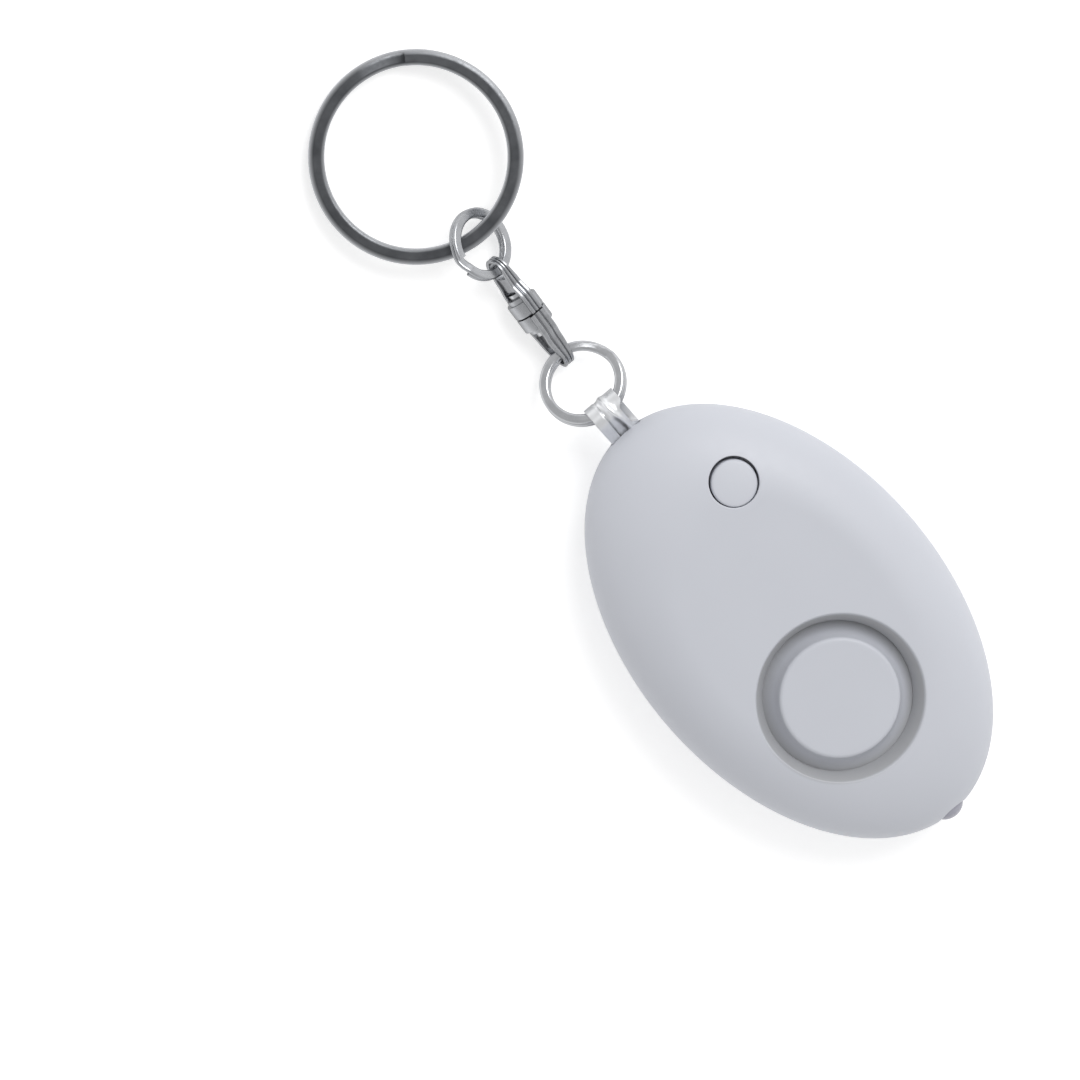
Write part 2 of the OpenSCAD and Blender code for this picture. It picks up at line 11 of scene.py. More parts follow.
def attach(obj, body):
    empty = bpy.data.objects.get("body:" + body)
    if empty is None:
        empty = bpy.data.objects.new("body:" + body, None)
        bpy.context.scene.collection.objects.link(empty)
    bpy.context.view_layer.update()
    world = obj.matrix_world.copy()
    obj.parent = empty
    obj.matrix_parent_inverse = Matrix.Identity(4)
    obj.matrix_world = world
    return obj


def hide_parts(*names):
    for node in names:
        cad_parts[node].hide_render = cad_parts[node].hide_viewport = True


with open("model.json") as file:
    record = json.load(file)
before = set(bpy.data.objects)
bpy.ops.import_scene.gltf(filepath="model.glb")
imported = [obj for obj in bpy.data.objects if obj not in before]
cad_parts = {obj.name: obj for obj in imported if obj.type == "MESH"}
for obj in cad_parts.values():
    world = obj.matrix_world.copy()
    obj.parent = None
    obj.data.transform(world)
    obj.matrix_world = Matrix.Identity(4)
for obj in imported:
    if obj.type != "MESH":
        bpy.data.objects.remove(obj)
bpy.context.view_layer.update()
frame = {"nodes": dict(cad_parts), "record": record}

# Sizes in millimetres, as in the solids; meshes are written in metres.
MM_PER_M = 1000

# Case: half sizes, the arc at the seam, the crown's arc that meets it, and how far the front falls off
HALF_W, HALF_L, HALF_T = 21.0, 33.5, 7.5
EDGE_R, EDGE_A = 7.0, math.radians(50)
CROWN_R = (HALF_T - EDGE_R * math.sin(EDGE_A)) / (1 - math.sin(EDGE_A))
CROWN_D = EDGE_R * (1 - math.cos(EDGE_A)) + CROWN_R * math.cos(EDGE_A)
FRONT_DOME = 0.04
SKIN = 0.5
SPLIT_Y = 4.0
REST_W, REST_L, REST_H = 0.72 * HALF_W, 0.92 * HALF_L, 0.3
SCREWS = np.array([[-9.5, 20.0], [10.2, -20.0]])

# Sounder well and its cap
WELL = np.array([-1.6, -10.7])
GROOVE_R, GROOVE_Z, FOOT_Z = 9.95, 12.0, 11.5
WELL_SLOPE = 2.27
CAP_R, CAP_Z, CAP_EDGE, HOLLOW_R = 7.7, 14.2, 0.6, 3.45

# Button, with its play in the hole, and lamp
BUTTON = np.array([6.3, 20.2])
BUTTON_PLAY = np.array([-0.08, -0.18])
BUTTON_R, HOLE_R, FLANGE_R = 3.08, 3.34, 3.8
BUTTON_DOME, BUTTON_LEAN = 25, math.radians(8)
LAMP_R, LAMP_PROUD = 2.5, 0.7

# Pin and chain
PIN_W, FOLD_R = 4.7, 1.9
EYE_Y = HALF_L + 3.4
PIN_RING_R, LINK_RING_R, KEY_RING_R = 5.25, 4.2, 12.95
LINK_W, KEY_W, KEY_SLACK = 1.0, 2.1, 1.45
KEY_HOLD = LINK_RING_R - LINK_W / 2 - KEY_W / 2 - KEY_SLACK
SWIVEL_L, SWIVEL_EYE_R, WEB_W = 14.0, 1.6, 1.2
RING_SLOPE, CHAIN_YAW, SWIVEL_RISE = 30, 5, 6
SWIVEL_SPIN, LINK_TURN, KEY_SLOPE = 25, 16, 6.4

Grid = namedtuple("Grid", "points loop_rows loop_columns flip", defaults=(True, False, False))


def turn(axis, degrees):
    """A turn about one axis as a 4 by 4 matrix."""
    return np.array(Matrix.Rotation(math.radians(degrees), 4, axis))


def shift(x, y, z):
    """A move as a 4 by 4 matrix."""
    return np.array(Matrix.Translation((x, y, z)))


# Seats of the chain: each is the frame of the one before, moved along its link and turned at its eye.
AT_PIN_EYE = shift(0, EYE_Y, HALF_T) @ turn("X", -RING_SLOPE)
AT_PIN_RING = AT_PIN_EYE @ shift(0, PIN_RING_R, 0)
AT_SWIVEL = (AT_PIN_RING @ turn("Z", -CHAIN_YAW) @ shift(0, PIN_RING_R, 0)
             @ turn("X", RING_SLOPE + SWIVEL_RISE))
AT_UPPER_EYE = AT_SWIVEL @ shift(0, SWIVEL_L, 0) @ turn("Y", SWIVEL_SPIN)
AT_LINK_RING = AT_UPPER_EYE @ turn("Y", LINK_TURN) @ shift(0, LINK_RING_R, 0)
AT_KEY_RING = (AT_SWIVEL @ shift(0, SWIVEL_L + LINK_RING_R + KEY_HOLD, 0.05)
               @ turn("X", -SWIVEL_RISE - KEY_SLOPE) @ shift(0, KEY_RING_R, 0))


# Shapes that the pieces share
def placed(seat, points):
    """Points of a seat's frame, moved to the object's frame: turn times point plus origin."""
    return points @ seat[:3, :3].T + seat[:3, 3]


def ease(value, low, high):
    """Rises from 0 at low to 1 at high as 3 t^2 - 2 t^3."""
    t = np.clip((value - low) / (high - low), 0, 1)
    return t * t * (3 - 2 * t)


def soft_min(a, b, width):
    """The lesser of two heights, with the corner between them rounded over a width."""
    h = np.clip(width - np.abs(a - b), 0, None) / width
    return np.minimum(a, b) - h * h * width / 4


def rounded(corners, radii, steps=7):
    """A closed or open line of corners, with each inner corner swapped for a parabolic bend of its radius."""
    corners = np.asarray(corners, float)
    t = np.linspace(0, 1, steps)[:, None]
    line = [corners[:1]]
    for a, b, c, r in zip(corners, corners[1:], corners[2:], radii):
        p = b + (a - b) / np.linalg.norm(a - b) * r
        q = b + (c - b) / np.linalg.norm(c - b) * r
        line.append((1 - t) ** 2 * p + 2 * t * (1 - t) * b + t ** 2 * q)
    line.append(corners[-1:])
    return np.concatenate(line)


def even(line, count):
    """Points set evenly along a line: each coordinate read off at equal steps of the length."""
    length = np.concatenate([[0], np.cumsum(np.linalg.norm(np.diff(line, axis=0), axis=1))])
    at = np.linspace(0, length[-1], count)
    return np.stack([np.interp(at, length, c) for c in line.T], -1)


def soft_box(width, height, corner, steps=5, flat=6):
    """A box section's outline as (across, up) points, with round corners and points along its flats."""
    a = np.linspace(0, np.pi / 2, steps)
    quarter = corner * np.stack([np.cos(a), np.sin(a)], -1)
    turns = [np.array([[c, -s], [s, c]]) for c, s in ((1, 0), (0, 1), (-1, 0), (0, -1))]
    middles = np.array([[1, 1], [-1, 1], [-1, -1], [1, -1]]) * [width / 2 - corner, height / 2 - corner]
    arcs = [m + quarter @ t.T for m, t in zip(middles, turns)]
    t = np.linspace(0, 1, flat + 2)[1:-1, None]
    return np.concatenate([
        np.concatenate([a, a[-1] * (1 - t) + b[0] * t]) for a, b in zip(arcs, arcs[1:] + arcs[:1])])


def turned(profile, seat, count):
    """A lathe form: the profile's (r, h) points carried round the seat's Z axis."""
    a = np.linspace(0, 2 * np.pi, count, endpoint=False)[:, None]
    r, h = profile[None, :, 0], profile[None, :, 1]
    return Grid(placed(seat, np.stack([r * np.cos(a), r * np.sin(a), h + 0 * a], -1)))


def carried(path, out, side, section):
    """A section's (out, side) points carried along a path, with both ends drawn to a point to close them."""
    sweep = path[:, None] + out[:, None] * section[..., :1] + side[:, None] * section[..., 1:]
    first, last = sweep[:1].mean(1, keepdims=True), sweep[-1:].mean(1, keepdims=True)
    return np.concatenate([np.broadcast_to(first, sweep[:1].shape), sweep,
                           np.broadcast_to(last, sweep[:1].shape)])


def strip_frame(line, outward):
    """Path, outer normal and width direction along a folded strip's (y, z) line, from the line's own slope."""
    along = np.gradient(line, axis=0)
    along /= np.linalg.norm(along, axis=1, keepdims=True)
    zero = 0 * line[:, 0]
    path = np.stack([zero, line[:, 0], line[:, 1]], -1)
    out = outward * np.stack([zero, -along[:, 1], along[:, 0]], -1)
    return path, out, np.broadcast_to([1.0, 0, 0], path.shape)


def weave(rows, columns, loop_rows, loop_columns, start):
    """Corner numbers of the quads between neighbours on a grid, going round where it loops."""
    i = np.arange(rows if loop_rows else rows - 1)[:, None]
    j = np.arange(columns if loop_columns else columns - 1)[None, :]
    i2, j2 = (i + 1) % rows, (j + 1) % columns
    corners = i * columns + j, i * columns + j2, i2 * columns + j2, i2 * columns + j
    return np.stack(np.broadcast_arrays(*corners), -1).reshape(-1, 4) + start


def piece(name, body, material, grids, nodes, sharp, closed=True, edge=None, wall=None):
    """One mesh woven from point grids, with doubles merged and edges past the sharp angle kept crisp."""
    points = np.concatenate([g.points.reshape(-1, 3) for g in grids]) / MM_PER_M
    starts = np.cumsum([0] + [g.points.shape[0] * g.points.shape[1] for g in grids[:-1]])
    quads = np.concatenate([
        weave(*g.points.shape[:2], g.loop_rows, g.loop_columns, s)[:, ::-1 if g.flip else 1]
        for g, s in zip(grids, starts)])
    mesh = bpy.data.meshes.new(name)
    mesh.vertices.add(len(points))
    mesh.vertices.foreach_set("co", points.astype(np.float32).ravel())
    mesh.loops.add(quads.size)
    mesh.loops.foreach_set("vertex_index", quads.astype(np.int32).ravel())
    mesh.polygons.add(len(quads))
    mesh.polygons.foreach_set("loop_start", np.arange(0, quads.size, 4, dtype=np.int32))
    if edge is not None:
        mesh.attributes.new("edge", "FLOAT", "POINT").data.foreach_set("value", edge.astype(np.float32).ravel())
    mesh.update(calc_edges=True)
    work = bmesh.new()
    work.from_mesh(mesh)
    bmesh.ops.remove_doubles(work, verts=work.verts, dist=1e-6)
    if closed:
        bmesh.ops.recalc_face_normals(work, faces=work.faces)
    work.to_mesh(mesh)
    work.free()
    mesh.polygons.foreach_set("use_smooth", np.ones(len(mesh.polygons), bool))
    mesh.set_sharp_from_angle(angle=math.radians(sharp))
    made = bpy.data.objects.new(name, mesh)
    bpy.context.scene.collection.objects.link(made)
    made.data.materials.append(material)
    if wall:
        thick = made.modifiers.new("wall", "SOLIDIFY")
        thick.thickness, thick.offset, thick.use_even_offset = wall / MM_PER_M, -1, False
    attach(made, body)
    if nodes:
        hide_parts(*nodes)
    return made


# Case
def pebble(x, y, dome):
    """Height above the seam over the oval radius: flat, then the crown's arc, then the edge's arc, less a slight
    dome that grows with the square of the radius."""
    rho = np.hypot(x, y * HALF_W / HALF_L)
    crown_in = np.clip(rho - HALF_W + CROWN_D, 0, None)
    crown = HALF_T - CROWN_R + np.sqrt(np.clip(CROWN_R ** 2 - crown_in ** 2, 0, None))
    edge = np.sqrt(np.clip(EDGE_R ** 2 - np.clip(rho - HALF_W + EDGE_R, 0, None) ** 2, 0, None))
    height = np.where(rho < HALF_W - EDGE_R + EDGE_R * math.cos(EDGE_A), crown, edge)
    return height * (1 - dome * (rho / HALF_W) ** 2)


def brim(angle):
    """The case's outline at the seam, drawn in where the lamp's round notch and the pin's slot lift it."""
    notch_r, slot_rise = LAMP_R + 0.15, 0.7
    x = HALF_W * np.cos(angle)
    notch = np.where(np.sin(angle) < 0, np.sqrt(np.clip(notch_r ** 2 - x ** 2, 0, None)), 0)
    slot = np.where(np.sin(angle) > 0, slot_rise * (1 - ease(np.abs(x), 2.45, 2.6)), 0)
    rho = HALF_W - EDGE_R + np.sqrt(EDGE_R ** 2 - (notch + slot) ** 2)
    return np.stack([rho * np.cos(angle), rho * HALF_L / HALF_W * np.sin(angle)], -1)


def shell_half(centre, split, upper, lip, far_rows, dome):
    """Rays from an eye out to the brim and the split line: the first rows follow the eye's lip, the far rows bunch
    at the brim by the sine of a quarter turn, and each point's height is the pebble's."""
    start = math.asin(split / HALF_L)
    end = math.pi - start if upper else -math.pi - start
    arc = brim(np.linspace(start, end, 230))
    across = arc[-1] + (arc[0] - arc[-1]) * (0.5 - 0.5 * np.cos(np.linspace(0, np.pi, 92)))[1:-1, None]
    rim = np.concatenate([arc, across])
    if not upper:
        rim = rim[::-1]
    reach = np.linalg.norm(rim - centre, axis=1, keepdims=True)
    heading = (rim - centre) / reach
    lip_r, lip_height = lip
    near = len(lip_r)
    t = np.sin(np.linspace(0, np.pi / 2, far_rows + 1))[1:]
    radius = np.concatenate([np.broadcast_to(lip_r, (len(rim), near)), lip_r[-1] + (reach - lip_r[-1]) * t], 1)
    spot = centre + heading[:, None] * radius[..., None]
    top = pebble(spot[..., 0], spot[..., 1], dome)
    top[:, :near] = lip_height(top[:, :near])
    return np.concatenate([spot, top[..., None]], -1)


def button_lip():
    """The button hole's lip: straight up from its foot below the surface, then a rounded edge, then out."""
    foot, soften = 1.4, 0.14
    a = np.linspace(0, np.pi / 2, 6)
    r = np.concatenate([[HOLE_R] * 3, HOLE_R + soften * (1 - np.cos(a)), HOLE_R + soften + np.linspace(0.1, 0.9, 5)])
    drop = np.concatenate([np.linspace(foot, soften, 4)[:3], soften * (1 - np.sin(a)), np.zeros(5)])
    return r, lambda top: top - drop


def well_lip():
    """The sounder well's lip: a skirt, then a 66 degree wall, met with the front by a small rounded corner."""
    wall_rows, wall_reach, corner = 40, 2.6, 0.3
    skirt = [1.4, 0.7, 0.1]
    r = np.concatenate([[GROOVE_R] * len(skirt), GROOVE_R + np.linspace(0, wall_reach, wall_rows)])
    wall = GROOVE_Z - HALF_T + (r - GROOVE_R) * WELL_SLOPE - np.array(skirt + [0] * wall_rows)
    return r, lambda top: soft_min(top, np.broadcast_to(wall, top.shape), corner)


def screw_lip():
    """A screw's counterbore: a flat floor round the shank's hole, a straight wall and a rounded edge."""
    hole_r, bore_r, soften, floor_z, no_floor = 1.15, 2.1, 0.15, 4.8, 99
    a = np.linspace(0, np.pi / 2, 6)
    r = np.concatenate([[hole_r, hole_r, 1.6, bore_r, bore_r], bore_r + soften * (1 - np.cos(a)), [2.5, 2.8, 3.2]])
    sink = np.concatenate([np.zeros(5), soften * (1 - np.sin(a)), np.zeros(3)])
    floor = np.concatenate([[floor_z - 1, floor_z, floor_z, floor_z, floor_z + 0.1], [no_floor] * 9])
    return r, lambda top: np.minimum(top - sink, floor)


def front_case(material):
    """The front shell's skin round the well and the button hole, meeting on a line between them."""
    low = shell_half(WELL, SPLIT_Y, False, well_lip(), 34, FRONT_DOME)
    high = shell_half(BUTTON, SPLIT_Y, True, button_lip(), 48, FRONT_DOME)
    grids = [Grid(half + [0, 0, HALF_T]) for half in (low, high)]
    return piece("front_case", "case", material, grids, ["front_shell"], 42, False, wall=SKIN)


def rear_case(material):
    """The rear shell's skin round its two counterbores, cut level a little above the panel that it rests on."""
    low = shell_half(SCREWS[1], 0.0, False, screw_lip(), 44, 0.0)
    high = shell_half(SCREWS[0], 0.0, True, screw_lip(), 44, 0.0)
    for half in (low, high):
        half[..., 2] = soft_min(half[..., 2], HALF_T - REST_H, 0.05)
    grids = [Grid(half * [1, 1, -1] + [0, 0, HALF_T], flip=True) for half in (low, high)]
    return piece("rear_case", "case", material, grids, ["rear_shell"], 42, False, wall=SKIN)


def rest_panel(material):
    """The low panel that the alarm rests on: a box outline drawn in to its middle line, with a rounded rim."""
    rim, top = 0.12, 1.2
    half = np.array([REST_W, REST_L]) / 2
    ring = soft_box(REST_W, REST_L, 0.5, 6, 24)
    b = np.linspace(0, np.pi / 2, 5)
    inset = np.concatenate([[half[0], 0, 0], rim * (1 - np.cos(b)), [1.0, 3.0, half[0]]])
    level = np.concatenate([[top, top, 0.2], rim * (1 - np.sin(b)), np.zeros(3)])
    shrink = np.maximum(1 - inset[None, :, None] / half, 0)
    heights = np.broadcast_to(level[None, :, None], (len(ring), len(level), 1))
    grid = np.concatenate([ring[:, None] * shrink, heights], -1)
    return piece("rest_panel", "case", material, [Grid(grid)], (), 40)


def well_cap(material):
    """The sounder's cap, turned: flat top, round edge, then an arc that hollows down to the groove's foot, and
    that lies deeper towards the pin by a slope that eases in beyond the edge."""
    base_z, tilt = 10.2, 0.04
    a = np.linspace(0, np.radians(68), 9)
    edge = np.stack([CAP_R - 0.25 + CAP_EDGE * np.sin(a), CAP_Z - CAP_EDGE + CAP_EDGE * np.cos(a)], -1)
    foot = np.array([GROOVE_R, FOOT_Z])
    fall = foot - edge[-1]
    half = np.linalg.norm(fall) / 2
    off = math.sqrt(HOLLOW_R ** 2 - half ** 2)
    middle = (edge[-1] + foot) / 2 + np.array([-fall[1], fall[0]]) / (2 * half) * off
    b = np.linspace(*np.arctan2(*np.stack([edge[-1] - middle, foot - middle], 1)[::-1]), 15)[1:, None]
    hollow = middle + HOLLOW_R * np.concatenate([np.cos(b), np.sin(b)], 1)
    flat = [[r, CAP_Z] for r in (0, 3, 6, 7)]
    line = np.concatenate([flat, edge, hollow, [[GROOVE_R, base_z], [0, base_z]]])
    grid = turned(line, shift(*WELL, 0), 160)
    reach = np.linalg.norm(grid.points[..., :2] - WELL, axis=-1)
    grid.points[..., 2] -= tilt * (grid.points[..., 1] - WELL[1]) * ease(reach, CAP_R, GROOVE_R)
    return piece("well_cap", "case", material, [grid], ["sounder_cap"], 40)


def push_button(material):
    """The button: a shallow ball's cap that leans with the case, a rounded edge, a straight side and a flange."""
    soften, sink = 0.34, 0.34
    a = np.linspace(0, 2 * np.pi, 96, endpoint=False)[:, None]
    b = np.linspace(0, np.pi / 2, 9)
    face_r = BUTTON_R - soften
    r = np.concatenate([np.linspace(0, face_r, 9), face_r + soften * np.sin(b), [BUTTON_R] * 2,
                        [FLANGE_R, FLANGE_R, 0]])
    drop = np.concatenate([np.zeros(9), soften * (1 - np.cos(b)), [1.2, 2.2], [2.7, 3.5, 3.5]])
    x, y = r * np.cos(a), r * np.sin(a)
    away = BUTTON * [1, (HALF_W / HALF_L) ** 2]
    lean = BUTTON_DOME * math.sin(BUTTON_LEAN) * away / np.linalg.norm(away)
    ball = (np.sqrt(BUTTON_DOME ** 2 - (x + lean[0]) ** 2 - (y + lean[1]) ** 2)
            - BUTTON_DOME * math.cos(BUTTON_LEAN))
    top = 2 * HALF_T - sink + np.where(r > BUTTON_R + 0.1, 0, ball) - drop
    middle = BUTTON + BUTTON_PLAY
    grid = np.stack([middle[0] + x, middle[1] + y, top], -1)
    return piece("push_button", "button", material, [Grid(grid)], ["light_button"], 40)


def end_lamp(material):
    """The lamp: a half ball on a barrel with a flange, turned about its length."""
    rim_r, rim_front, rim_back, soften = LAMP_R + 0.4, -5, -6, 0.12
    a = np.linspace(0, np.pi / 2, 20)
    tip = np.stack([LAMP_R * np.sin(a), LAMP_R * np.cos(a)], -1)
    flange = rounded([[LAMP_R, rim_front], [rim_r, rim_front], [rim_r, rim_back], [0, rim_back]], [soften] * 2)
    line = np.concatenate([tip, [[LAMP_R, -2.5], [LAMP_R, -4.95]], flange])
    seat = shift(0, -HALF_L - LAMP_PROUD + LAMP_R, HALF_T) @ turn("X", 90)
    return piece("end_lamp", "case", material, [turned(line, seat, 96)], ["lamp"], 40)


# Pull pin
def pin_strip(material):
    """A strip folded round the ring: two straight legs from the neck to a round fold, with a flat section carried
    along them. Its front is pressed: a bead and a fine line as bell curves across, and a step between the two."""
    rows, columns, neck_y, knee_y, bend = 260, 91, 22.6, 33.7, 0.9
    a = np.radians(np.linspace(124, -124, 61))
    fold = np.stack([EYE_Y + FOLD_R * np.cos(a), HALF_T + FOLD_R * np.sin(a)], -1)
    front = rounded([[neck_y, 7.44], [knee_y, 7.76], fold[0]], [bend], 12)
    back = rounded([[neck_y, 7.24], [knee_y, 7.22], fold[-1]], [bend], 12)[::-1]
    path, out, side = strip_frame(even(np.concatenate([front, fold[1:-1], back]), rows), 1)
    y, t = path[:, 1:2], np.linspace(0, 1, rows)[:, None]
    upper = 1 - ease(t, 0.5, 0.56)
    open_edge = ease(y, 33.4, 34.2) * (1 - ease(y, 36.4, 37.6)) * upper
    limit = PIN_W / 2 - 0.9 * open_edge
    across = -PIN_W / 2 + (limit + PIN_W / 2) * np.linspace(0, 1, columns)
    show = ease(y, 31.0, 33.0) * upper * (1 - 0.6 * ease(y, 38.0, 38.8))
    bead_x = 0.2 + 0.75 * (1 - ease(y, 33.5, 38.5))
    bead = 0.42 * np.exp(-((across - bead_x) / 0.42) ** 2)
    fine_line = 0.2 * np.exp(-((across + 0.75) / 0.09) ** 2)
    step = 0.2 * ease(across, -0.72, -0.68) * (1 - ease(across, bead_x - 0.8, bead_x))
    press = (bead - fine_line - step) * show
    gauge = 0.2 - 0.06 * (1 - ease(y, neck_y, 24))
    face = np.stack([press + gauge, across], -1)
    rear = np.stack([0.3 * press - gauge, across], -1)[:, ::-1]
    grid = carried(path, out, side, np.concatenate([face, rear], 1))
    return piece("pin_strip", "pin", material, [Grid(grid, False, True)], ["pull_pin"], 48)


# Rings
def coil_ring(name, body, material, seat, radius, section, depth, start, climb=30, splay=0.0, edge=None):
    """A wire section carried along two flat turns from a start angle: it climbs from one turn to the other by an
    ease over so many degrees, and splays by one sine wave along its length."""
    turns_gap, length = 0.06, 720 - climb
    degrees = np.linspace(0, length, 461)
    a = np.radians(degrees + start)
    rise = -1 + 2 * ease(degrees, 360 - climb, 360)
    lift = rise * (depth + turns_gap) / 4
    swell = splay * np.sin(np.radians(degrees / length * 360))
    path = np.stack([(radius + swell) * np.cos(a), (radius + swell) * np.sin(a), lift], -1)
    out = np.stack([np.cos(a), np.sin(a), 0 * a], -1)
    side = np.broadcast_to([0.0, 0, 1], path.shape)
    grid = placed(seat, carried(path, out, side, np.broadcast_to(section, (len(a),) + section.shape)))
    if edge is not None:
        edge = np.broadcast_to(edge, grid.shape[:2])
    return piece(name, body, material, [Grid(grid, False, True)], [body], 50, edge=edge)


def key_wire():
    """The key ring's flat wire: a level face with a bevel and a broken corner at each edge, mirrored below. With it
    goes how far each point belongs to the edges that get a painted highlight."""
    face = np.stack([np.linspace(-0.62, 0.4, 9), np.full(9, 0.58)], -1)
    outer, inner = [[0.95, 0.34], [1.05, 0.2]], [[-1.05, 0.2], [-0.98, 0.4]]
    half = np.concatenate([inner, face, outer])[::-1]
    wire = np.concatenate([half, half[::-1] * [1, -1]])
    return wire, np.maximum(ease(wire[:, 0], 0.41, 0.46), ease(-wire[:, 0], 0.63, 0.68))


# Swivel
def swivel_strap(width):
    """A strap folded round the ring, narrower there: two legs that swell out over the turned base, with two ribs
    sunk into the outside as bell curves across."""
    gauge, swell = 0.5, 0.52
    half_l = SWIVEL_L / 2
    a = np.radians(np.linspace(90, 270, 41))
    eye = np.stack([SWIVEL_EYE_R * np.cos(a), SWIVEL_EYE_R * np.sin(a)], -1)
    y = np.linspace(half_l - 0.1, 0.05, 34)
    leg = np.stack([y, SWIVEL_EYE_R + swell * ease(y, half_l - 4.7, half_l - 2.6)], -1)
    line = np.concatenate([leg, eye, (leg * [1, -1])[::-1]])
    path, out, side = strip_frame(line, -1)
    strip = soft_box(gauge, width, 0.16, 6, 31)
    x = strip[:, 1] / width
    sunk = 0.24 * np.exp(-((x + 0.155) / 0.06) ** 2) + 0.28 * np.exp(-((x - 0.175) / 0.045) ** 2)
    strip = np.stack([strip[:, 0] - np.where(strip[:, 0] > 0.2, sunk, 0), strip[:, 1]], -1)
    narrow = 0.64 + 0.36 * ease(line[:, :1], -SWIVEL_EYE_R, 2.6)
    return carried(path, out, side, np.stack([strip[:, 0] + 0 * narrow, strip[:, 1] * narrow], -1))


def swivel_web():
    """The web behind the eye: a box section carried from the eye towards the base."""
    y = np.linspace(1.3, 3.4, 4)
    path = np.stack([0 * y, y, 0 * y], -1)
    out, side = np.broadcast_to([1.0, 0, 0], path.shape), np.broadcast_to([0.0, 0, 1], path.shape)
    box = soft_box(WEB_W, 3.0, 0.1, 3, 2)
    return carried(path, out, side, np.broadcast_to(box, (len(y),) + box.shape))


def swivel_base():
    """The turned base's profile round its rivet hole: a barrel and a smaller shoulder, edges broken."""
    hole_r, shoulder_r, barrel_r = 0.8, 1.75, 2.15
    top = SWIVEL_L / 2 - 0.08
    step, foot = top - 2, top - 2.6
    return rounded([[hole_r, foot], [shoulder_r, foot], [shoulder_r, step], [barrel_r, step], [barrel_r, top],
                    [hole_r, top], [hole_r, foot]], [0.15, 0.08, 0.14, 0.16, 0.05], 5)


def swivel_end(name, body, material, seat, width):
    """One half of the swivel: its strap, its web and its turned base."""
    lathe = turned(swivel_base(), seat @ turn("X", -90), 72)
    strap, web = (Grid(placed(seat, sweep), False, True) for sweep in (swivel_strap(width), swivel_web()))
    return piece(name, body, material, [lathe, strap, web], [body], 45)


# Finishes
class Finish:
    """A node material on Object coordinates: a principled shader and short calls that feed it."""

    def __init__(self, name, **sockets):
        self.material = bpy.data.materials.new(name)
        self.material.use_nodes = True
        self.tree = self.material.node_tree
        self.shader = self.tree.nodes["Principled BSDF"]
        self.place = self.add("ShaderNodeTexCoord").outputs["Object"]
        for socket, value in sockets.items():
            self.shader.inputs[socket.replace("_", " ")].default_value = value

    def add(self, kind, links=(), **values):
        """A node with its values set, on sockets where it has one of that name, and its sources linked."""
        node = self.tree.nodes.new(kind)
        for key, value in values.items():
            socket = key.replace("_", " ")
            if socket in node.inputs:
                node.inputs[socket].default_value = value
            else:
                setattr(node, key, value)
        for socket, source in links:
            self.tree.links.new(source, node.inputs[socket])
        return node

    def noise(self, scale, detail):
        """Grain of so many waves to the metre."""
        return self.add("ShaderNodeTexNoise", [("Vector", self.place)], Scale=scale, Detail=detail).outputs["Fac"]

    def span(self, source, low, high, start=0.3, end=0.7):
        """A source of start to end mapped to low to high."""
        return self.add("ShaderNodeMapRange", [("Value", source)], From_Min=start, From_Max=end,
                        To_Min=low, To_Max=high).outputs["Result"]

    def times(self, first, *others):
        """The product of several sources."""
        for other in others:
            first = self.add("ShaderNodeMath", [(0, first), (1, other)], operation="MULTIPLY").outputs[0]
        return first

    def mix(self, factor, a, b):
        """Two colours, or sources of colour, mixed by a factor."""
        made = self.add("ShaderNodeMix", [("Factor", factor)], data_type="RGBA")
        for socket, value in (("A", a), ("B", b)):
            spot = [s for s in made.inputs if s.name == socket and s.type == "RGBA"][0]
            if isinstance(value, tuple):
                spot.default_value = (*value, 1)
            else:
                self.tree.links.new(value, spot)
        return [s for s in made.outputs if s.type == "RGBA"][0]

    def bump(self, height, depth, strength):
        """A bump of that depth in metres."""
        return self.add("ShaderNodeBump", [("Height", height)], Strength=strength, Distance=depth).outputs["Normal"]

    def feed(self, **sources):
        """The material, with the shader's sockets fed by these sources."""
        for socket, source in sources.items():
            self.tree.links.new(source, self.shader.inputs[socket.replace("_", " ")])
        return self.material


def satin_plastic(name, pale, deep, groove_shade, rough=0.46):
    """Moulded plastic: slow tone drift, a fine spark grain and cloudy roughness; painted shade that darkens the
    groove, which is the space between two distances from the well's axis and two heights, all in metres."""
    f = Finish(name)
    centred = f.add("ShaderNodeMapping", [("Vector", f.place)], Scale=(1, 1, 0),
                    Location=(-WELL[0] / MM_PER_M, -WELL[1] / MM_PER_M, 0)).outputs[0]
    reach = f.add("ShaderNodeVectorMath", [("Vector", centred)], operation="LENGTH").outputs["Value"]
    level = f.add("ShaderNodeSeparateXYZ", [("Vector", f.place)]).outputs["Z"]
    # Painted shade: within this ring and band of heights round the well, the colour is mixed towards a darker
    # colour.
    groove = f.times(f.span(reach, 0, 1, 0.0086, 0.0099), f.span(reach, 1, 0, 0.0110, 0.0115),
                     f.span(level, 0, 1, 0.0085, 0.0095), f.span(level, 1, 0, 0.0143, 0.0151))
    tone = f.mix(f.span(f.noise(55, 2), 0, 1), deep, pale)
    return f.feed(Base_Color=f.mix(groove, tone, groove_shade),
                  Roughness=f.span(f.noise(900, 3), rough - 0.05, rough + 0.05),
                  Normal=f.bump(f.noise(5200, 2), 0.000012, 0.5))


def plated(name, pale, deep, shade, rough):
    """Plated metal: cloudy tone, painted shade where it turns from view, fine scuffs, roughness that follows them.
    """
    f = Finish(name, Metallic=1.0)
    scuff = f.noise(1500, 3)
    # Painted shade: the colour darkens towards the shade colour where the surface turns from the view.
    painted_view_shade = f.add("ShaderNodeLayerWeight", Blend=0.4).outputs["Facing"]
    tone = f.mix(f.span(f.noise(420, 3), 0, 1), deep, pale)
    return f.feed(Base_Color=f.mix(f.span(painted_view_shade, 0, 1, 0.22, 0.75), tone, shade),
                  Roughness=f.span(scuff, rough - 0.05, rough + 0.07), Normal=f.bump(scuff, 0.000002, 0.12))


